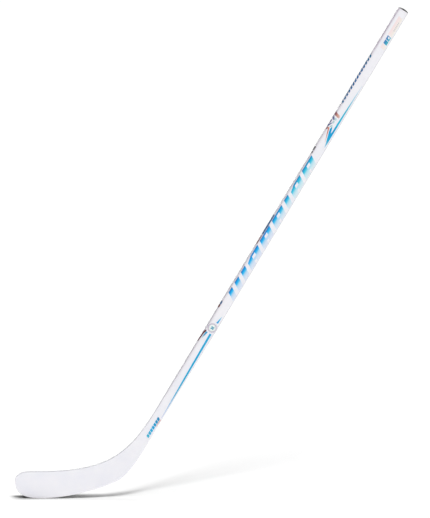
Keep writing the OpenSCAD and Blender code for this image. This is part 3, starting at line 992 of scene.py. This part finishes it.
INNER = {
    "hosel_tenon": carbon_weave(),
    "blade_bridge_rib": carbon_weave(),
    "hosel_foam": foam("hosel_foam_cells", (0.85, 0.79, 0.60, 1), (0.62, 0.55, 0.38, 1)),
    "blade_core_lower": foam("core_cells", (0.82, 0.75, 0.55, 1), (0.58, 0.50, 0.33, 1)),
    "blade_core_upper": foam("core_cells_upper", (0.78, 0.71, 0.52, 1), (0.52, 0.45, 0.30, 1)),
}
for node, material in INNER.items():
    mesh = frame["nodes"][node].data
    mesh.materials.clear()
    mesh.materials.append(material)

# ---------------------------------------------------------------- stage, light, camera


FLOOR_REACH = 400.0  # metres from the middle to the floor's edge
BACKDROP_R = 46.0  # metres
# painted shadow: CONTACT_SHADE is how dark the shadow painted under the sole is
CONTACT_SHADE = 0.88  # how much darker the floor is where the sole rests on it
WORLD_LIGHT = 0.15


def add_floor():
    """A plain floor so wide that it reaches behind the stick in every view. Its own lamps
    make it white. Its base colour is low, so that light off the blade leaves the shadow
    dark, and lower still in a soft strip under the sole: a contact shadow painted on the floor."""
    shader = Shader("floor_white", roughness=1, specular=0)
    tone = shader.ramp(shader.noise(900, 2), [(0.2, (0.099, 0.099, 0.099, 1)),
                                              (0.8, (0.101, 0.101, 0.101, 1))])
    right, back = [shader.along(way, origin=(0, 0, 0)) for way in ((1, 0, 0), (0, 1, 0))]
    length = shader.math("MULTIPLY", shader.share(right, -88, -46), shader.share(right, 185, 70))
    width = shader.math("MULTIPLY", shader.share(back, -26, 24), shader.share(back, 70, 40))
    # the contact shadow painted in a soft strip under the sole
    strip = shader.math("MULTIPLY", shader.math("MULTIPLY", length, width), CONTACT_SHADE)
    tone = shader.blend(strip, tone, (0, 0, 0, 1))
    mesh = bpy.data.meshes.new("floor")
    signs = [(-1, -1), (1, -1), (1, 1), (-1, 1)]
    corners = [(FLOOR_REACH * x, FLOOR_REACH * y) for x, y in signs]
    mesh.from_pydata([(x, y, -0.1 * MM) for x, y in corners], [], [(0, 1, 2, 3)])
    mesh.materials.append(shader.finish(tone))
    floor = bpy.data.objects.new("floor", mesh)
    bpy.context.scene.collection.objects.link(floor)
    return floor


def add_backdrop():
    """A white dome behind everything, which the camera sees but which lights nothing."""
    bm = bmesh.new()
    bmesh.ops.create_icosphere(bm, subdivisions=5, radius=BACKDROP_R)
    mesh = bpy.data.meshes.new("backdrop")
    bm.to_mesh(mesh)
    bm.free()
    shader = Shader("backdrop_white", roughness=1, specular=0)
    shader.surface.inputs["Emission Strength"].default_value = 1.0
    shader.surface.inputs["Emission Color"].default_value = (1, 1, 1, 1)
    mesh.materials.append(shader.finish((0, 0, 0, 1)))
    dome = bpy.data.objects.new("backdrop", mesh)
    for ray in ("diffuse", "glossy", "transmission", "volume_scatter", "shadow"):
        setattr(dome, "visible_" + ray, False)
    bpy.context.scene.collection.objects.link(dome)


def light_group(name, obj, state):
    """A collection that makes a light reach obj only, or everything but obj."""
    group = bpy.data.collections.new(name)
    group.objects.link(obj)
    group.collection_objects[0].light_linking.link_state = state
    return group


def add_sun(name, towards, strength, spread_degrees, receivers):
    """A sun whose light comes from the direction towards (x, y, z)."""
    light = bpy.data.lights.new(name, "SUN")
    light.energy = strength * math.pi
    light.angle = math.radians(spread_degrees)
    lamp = bpy.data.objects.new(name, light)
    lamp.rotation_euler = Vector(towards).to_track_quat("Z", "Y").to_euler()
    lamp.light_linking.receiver_collection = receivers
    bpy.context.scene.collection.objects.link(lamp)


def add_world(strength):
    """Even white light from all round."""
    world = bpy.data.worlds.new("studio")
    world.use_nodes = True
    background = world.node_tree.nodes["Background"]
    background.inputs["Color"].default_value = (1, 1, 1, 1)
    background.inputs["Strength"].default_value = strength
    bpy.context.scene.world = world


def add_camera():
    """A long lens from the front, a little to the left and above, as in the picture."""
    azimuth, elevation, distance = math.radians(9.2), math.radians(8), 25.0
    frame_height, right_m, up_m = 1.4504, 0.4867, 0.6696
    right = Vector((math.cos(azimuth), -math.sin(azimuth), 0))
    back = Vector((-math.sin(azimuth) * math.cos(elevation),
                   -math.cos(azimuth) * math.cos(elevation), math.sin(elevation)))
    up = back.cross(right)
    camera = bpy.data.cameras.new("camera")
    camera.sensor_fit = "VERTICAL"
    camera.sensor_height = 36
    camera.lens = camera.sensor_height * distance / frame_height
    camera.clip_end = 2000
    holder = bpy.data.objects.new("camera", camera)
    turn = Matrix((right, up, back)).transposed().to_4x4()
    holder.matrix_world = Matrix.Translation(right * right_m + up * up_m + back * distance) @ turn
    bpy.context.scene.collection.objects.link(holder)
    bpy.context.scene.camera = holder


# Lamps as (name, direction that the light comes from, strength, spread in degrees)
FLOOR_LAMPS = (
    ("floor_key", (0.06, -0.60, 1.0), 4.3, 12),
    ("floor_fill", (0.03, -0.38, 1.0), 5.3, 46),
    ("floor_rear", (0.00, 0.36, 1.0), 1.9, 30),
)
STICK_LAMPS = (
    ("front", (0.10, -0.99, 0.10), 0.57, 40),
    ("left", (-0.80, -0.40, 0.45), 0.22, 60),
    ("back", (0.15, 0.98, 0.10), 0.42, 40),
)
floor = add_floor()
add_backdrop()
floor_only = light_group("floor_lights", floor, "INCLUDE")
stick_only = light_group("stick_lights", floor, "EXCLUDE")
for lamps, receivers in ((FLOOR_LAMPS, floor_only), (STICK_LAMPS, stick_only)):
    for lamp in lamps:
        add_sun(*lamp, receivers)
add_world(WORLD_LIGHT)
add_camera()
bpy.context.scene.view_settings.view_transform = "Standard"
